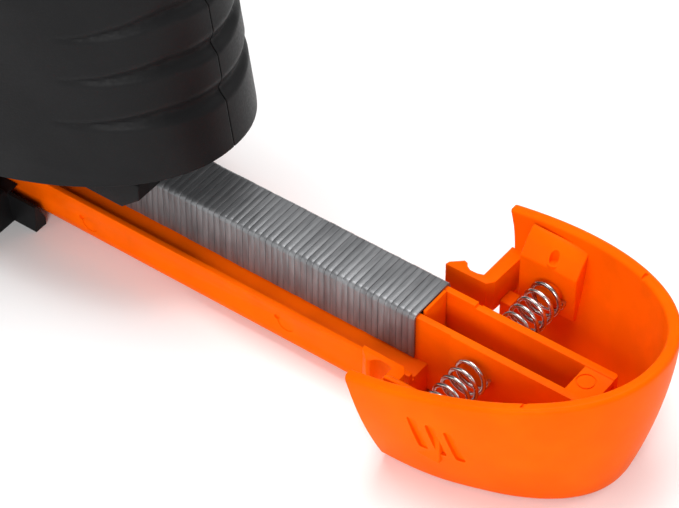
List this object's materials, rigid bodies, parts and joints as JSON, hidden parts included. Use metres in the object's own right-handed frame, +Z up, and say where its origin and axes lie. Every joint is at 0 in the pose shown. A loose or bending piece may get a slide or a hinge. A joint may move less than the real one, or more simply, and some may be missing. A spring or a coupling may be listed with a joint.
{
  "type": "cordless staple gun",
  "caption": "Cordless staple gun with a closed loop handle, its staple magazine drawn out at the rear on a rail that ends in a squeeze-latched end cap.",
  "frame": {"origin": "middle of the nose plate's lower face, where staples leave the tool", "axes": "+X rearward along the magazine, +Y to the right side, +Z up through the handle; the base stands on z = 0"},
  "size_m": [0.2503, 0.0506, 0.1748],
  "materials": {
    "battery_cell_left": "shrink sleeve",
    "battery_cell_right": "shrink sleeve",
    "bumper": "matt",
    "cam_roller": "bright steel",
    "charge_socket": "moulded",
    "circuit_board": "solder mask",
    "drive_cam": "dark hardened steel",
    "drive_frame": "bright steel",
    "drive_spring": "dark hardened steel",
    "driver_blade": "bright steel",
    "force_dial": "satin moulded",
    "gearbox": "sintered steel",
    "grip_cover": "soft matt",
    "housing_screw_1": "black zinc",
    "housing_screw_2": "black zinc",
    "housing_screw_3": "black zinc",
    "housing_screw_4": "black zinc",
    "housing_screw_5": "black zinc",
    "housing_screw_6": "black zinc",
    "left_housing": "fine spark texture",
    "left_latch": "satin moulded",
    "left_latch_spring": "bright steel",
    "lock_slider": "satin moulded",
    "magazine_cap": "satin moulded",
    "magazine_tray": "satin moulded",
    "motor": "bright steel",
    "nose_plate": "bright steel",
    "nose_screw_left": "dark hardened steel",
    "nose_screw_right": "dark hardened steel",
    "plunger": "dark hardened steel",
    "pusher": "dark hardened steel",
    "pusher_spring": "dark hardened steel",
    "right_housing": "fine spark texture",
    "right_latch": "satin moulded",
    "right_latch_spring": "bright steel",
    "spring_rod": "bright steel",
    "staple_guide": "fine spark texture",
    "staple_strip": "galvanised wire",
    "trigger": "satin moulded",
    "trigger_pin": "bright steel",
    "trigger_spring": "bright steel",
    "trigger_switch": "moulded",
    "work_light_lens": "clear"
  },
  "bodies": {
    "body": {"left_housing": "left_housing", "right_housing": "right_housing", "grip_cover": "grip_cover", "nose_plate": "nose_plate", "nose_screw_left": "nose_screw_left", "nose_screw_right": "nose_screw_right", "staple_guide": "staple_guide", "drive_frame": "drive_frame", "bumper": "bumper", "spring_rod": "spring_rod", "drive_spring": "drive_spring", "gearbox": "gearbox", "motor": "motor", "battery_cell_left": "battery_cell_left", "battery_cell_right": "battery_cell_right", "circuit_board": "circuit_board", "charge_socket": "charge_socket", "work_light_lens": "work_light_lens", "trigger_pin": "trigger_pin", "trigger_spring": "trigger_spring", "trigger_switch": "trigger_switch", "housing_screw_1": "housing_screw_1", "housing_screw_2": "housing_screw_2", "housing_screw_3": "housing_screw_3", "housing_screw_4": "housing_screw_4", "housing_screw_5": "housing_screw_5", "housing_screw_6": "housing_screw_6"},
    "magazine": {"magazine_tray": "magazine_tray", "magazine_cap": "magazine_cap", "left_latch_spring": "left_latch_spring", "right_latch_spring": "right_latch_spring", "pusher_spring": "pusher_spring"},
    "left_latch": {"left_latch": "left_latch"},
    "right_latch": {"right_latch": "right_latch"},
    "pusher": {"pusher": "pusher"},
    "staples": {"staple_strip": "staple_strip"},
    "hammer": {"plunger": "plunger", "driver_blade": "driver_blade", "cam_roller": "cam_roller"},
    "cam": {"drive_cam": "drive_cam"},
    "trigger": {"trigger": "trigger"},
    "lock": {"lock_slider": "lock_slider"},
    "dial": {"force_dial": "force_dial"}
  },
  "joints": [
    {"name": "magazine_slide", "type": "slide", "parent": "body", "child": "magazine", "axis": [1, 0, 0], "range_m": [-0.0863, 0]},
    {"name": "left_latch_squeeze", "type": "hinge", "parent": "magazine", "child": "left_latch", "pos_m": [0.2299, -0.019, 0.015], "axis": [0, 0, -1], "range_deg": [0, 2.8], "stiffness_Nm_per_rad": 0.3, "springref_deg": -2.86, "deforming": ["left_latch_spring"]},
    {"name": "right_latch_squeeze", "type": "hinge", "parent": "magazine", "child": "right_latch", "pos_m": [0.2299, 0.019, 0.015], "axis": [0, 0, 1], "range_deg": [0, 2.8], "stiffness_Nm_per_rad": 0.3, "springref_deg": -2.86, "deforming": ["right_latch_spring"]},
    {"name": "pusher_slide", "type": "slide", "parent": "magazine", "child": "pusher", "axis": [-1, 0, 0], "range_m": [0, 0.0065], "deforming": ["pusher_spring"]},
    {"name": "staple_feed", "type": "slide", "parent": "magazine", "child": "staples", "axis": [-1, 0, 0], "range_m": [0, 0.0065]},
    {"name": "cam_spin", "type": "hinge", "parent": "body", "child": "cam", "pos_m": [0.0249, 0, 0.05], "axis": [-1, 0, 0], "range_deg": [0, 300]},
    {"name": "hammer_lift", "type": "slide", "parent": "body", "child": "hammer", "axis": [0, 0, 1], "range_m": [0, 0.016], "deforming": ["drive_spring"]},
    {"name": "trigger_pull", "type": "hinge", "parent": "body", "child": "trigger", "pos_m": [0.0619, 0, 0.141], "axis": [0, -1, 0], "range_deg": [0, 8], "stiffness_Nm_per_rad": 0.15, "springref_deg": -5.73, "deforming": ["trigger_spring"]},
    {"name": "lock_slide", "type": "slide", "parent": "body", "child": "lock", "axis": [1, 0, 0], "range_m": [0, 0.005]},
    {"name": "dial_turn", "type": "hinge", "parent": "body", "child": "dial", "pos_m": [0.0309, 0, 0.165], "axis": [0, 0, 1], "range_deg": [0, 270]}
  ],
  "couplings": [
    {"joint": "staple_feed", "follows": "pusher_slide", "ratio": 1},
    {"joint": "cam_spin", "follows": "hammer_lift", "rad_per_m": 327.24}
  ]
}
